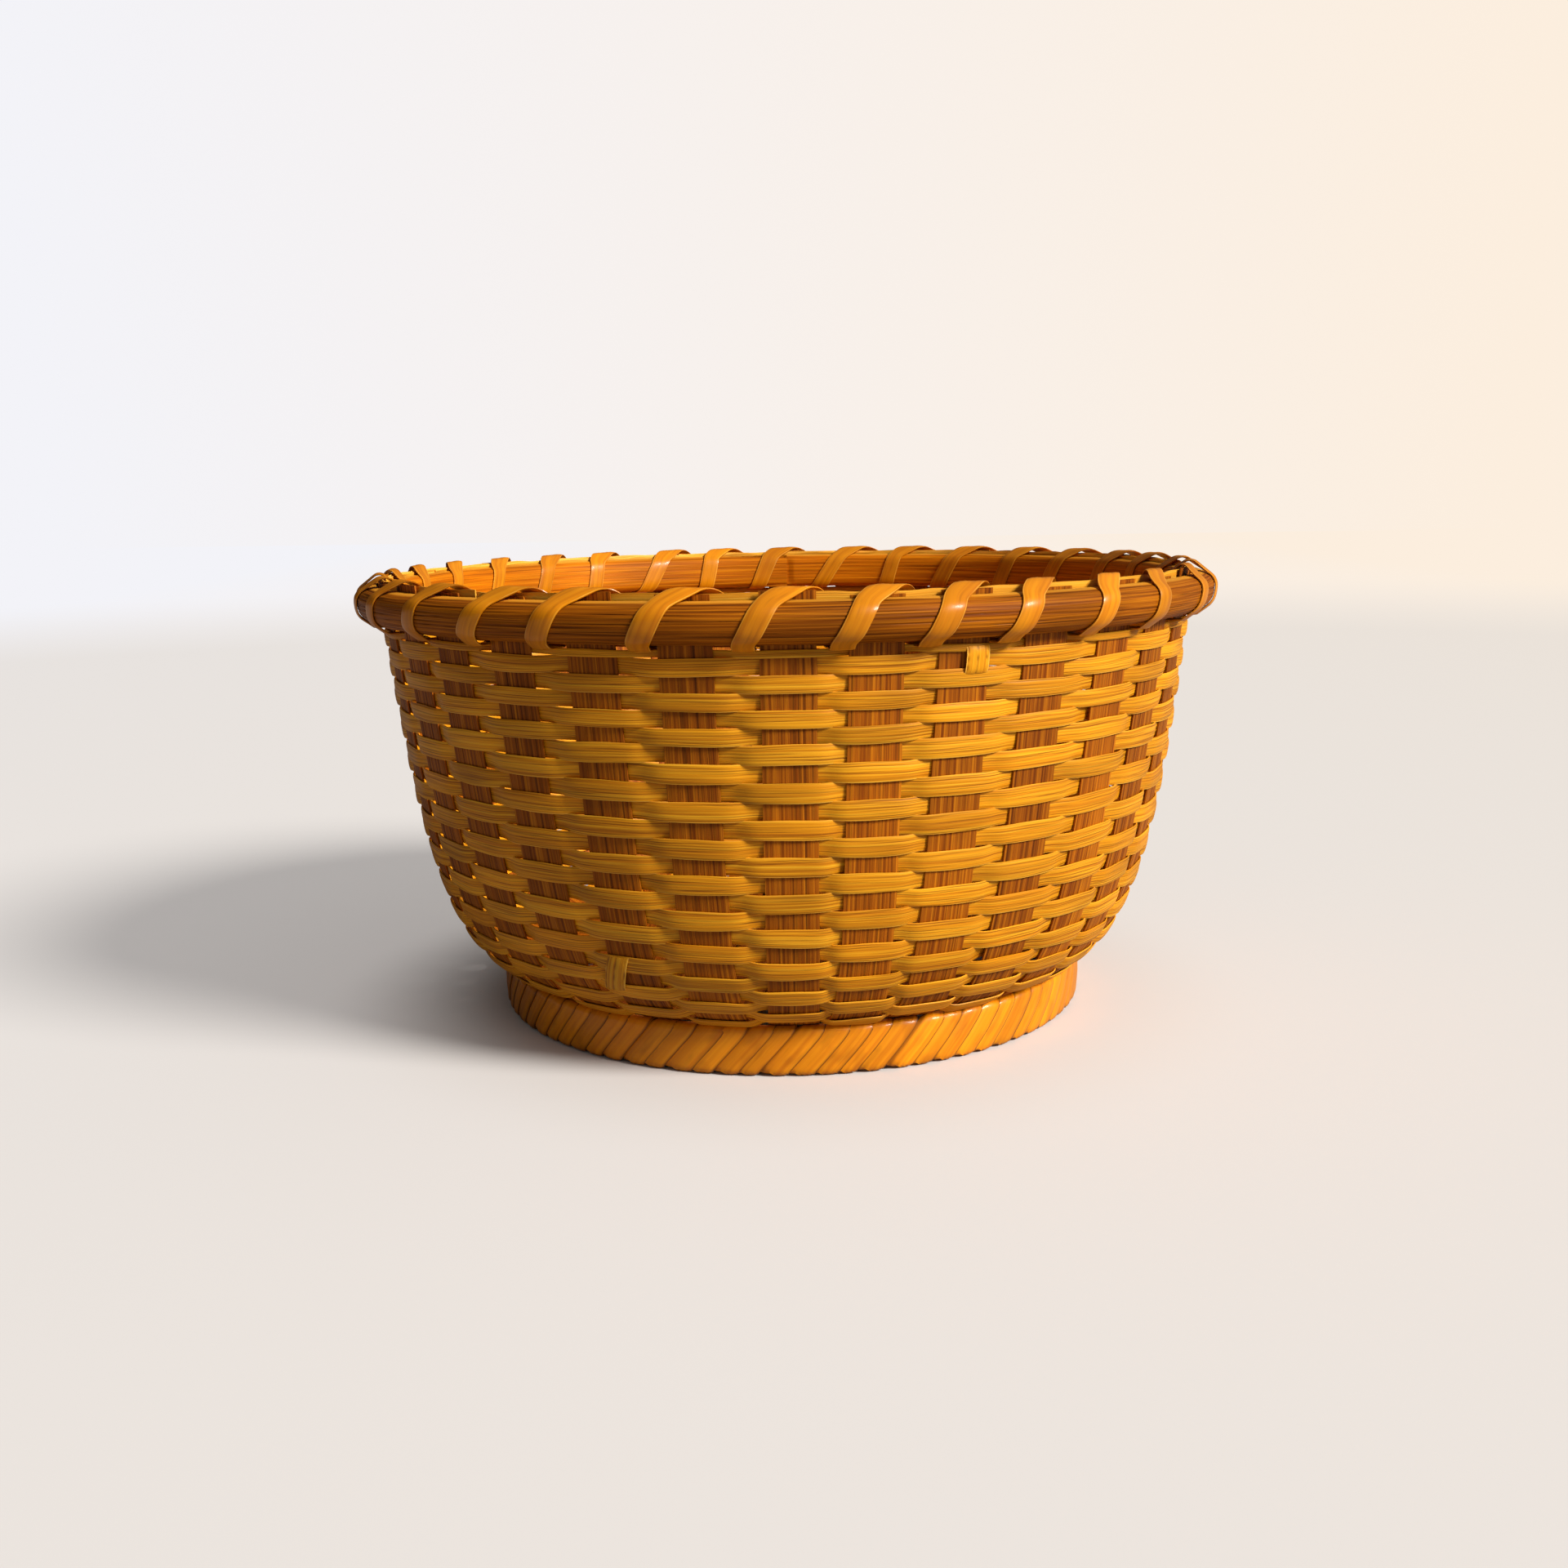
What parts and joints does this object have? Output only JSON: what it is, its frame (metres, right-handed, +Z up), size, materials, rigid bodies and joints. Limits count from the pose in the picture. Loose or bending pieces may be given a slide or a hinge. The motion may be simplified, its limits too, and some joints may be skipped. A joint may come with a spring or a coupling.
{
  "type": "berry basket",
  "caption": "Small round bamboo berry basket: plain-woven wall swelling from a wrapped foot ring to a lashed rim, open at the top.",
  "frame": {"origin": "on the floor under the middle of the foot", "axes": "+Z up through the mouth, X and Y along the strips that cross in the base"},
  "size_m": [0.181, 0.181, 0.0933],
  "materials": {
    "stake_bamboo": "natural",
    "weaver_bamboo": "natural",
    "rim_band_bamboo": "natural",
    "rim_filler_bamboo": "natural",
    "lash_bamboo": "natural",
    "foot_hoop_bamboo": "natural",
    "foot_wrap_bamboo": "natural"
  },
  "bodies": {
    "root": {"strip_x_1": "stake_bamboo", "strip_x_2": "stake_bamboo", "strip_x_3": "stake_bamboo", "strip_x_4": "stake_bamboo", "strip_x_5": "stake_bamboo", "strip_x_6": "stake_bamboo", "strip_x_7": "stake_bamboo", "strip_x_8": "stake_bamboo", "strip_y_1": "stake_bamboo", "strip_y_2": "stake_bamboo", "strip_y_3": "stake_bamboo", "strip_y_4": "stake_bamboo", "strip_y_5": "stake_bamboo", "strip_y_6": "stake_bamboo", "strip_y_7": "stake_bamboo", "strip_y_8": "stake_bamboo", "weaver_01": "weaver_bamboo", "weaver_02": "weaver_bamboo", "weaver_03": "weaver_bamboo", "weaver_04": "weaver_bamboo", "weaver_05": "weaver_bamboo", "weaver_06": "weaver_bamboo", "weaver_07": "weaver_bamboo", "weaver_08": "weaver_bamboo", "weaver_09": "weaver_bamboo", "weaver_10": "weaver_bamboo", "weaver_11": "weaver_bamboo", "weaver_12": "weaver_bamboo", "weaver_13": "weaver_bamboo", "weaver_14": "weaver_bamboo", "weaver_15": "weaver_bamboo", "weaver_16": "weaver_bamboo", "weaver_17": "weaver_bamboo", "weaver_18": "weaver_bamboo", "weaver_19": "weaver_bamboo", "weaver_20": "weaver_bamboo", "weaver_21": "weaver_bamboo", "weaver_22": "weaver_bamboo", "weaver_23": "weaver_bamboo", "weaver_24": "weaver_bamboo", "rim_outer_band": "rim_band_bamboo", "rim_inner_band": "rim_band_bamboo", "rim_filler": "rim_filler_bamboo", "rim_lashing": "lash_bamboo", "foot_hoop": "foot_hoop_bamboo", "foot_wrap": "foot_wrap_bamboo"}
  },
  "joints": []
}
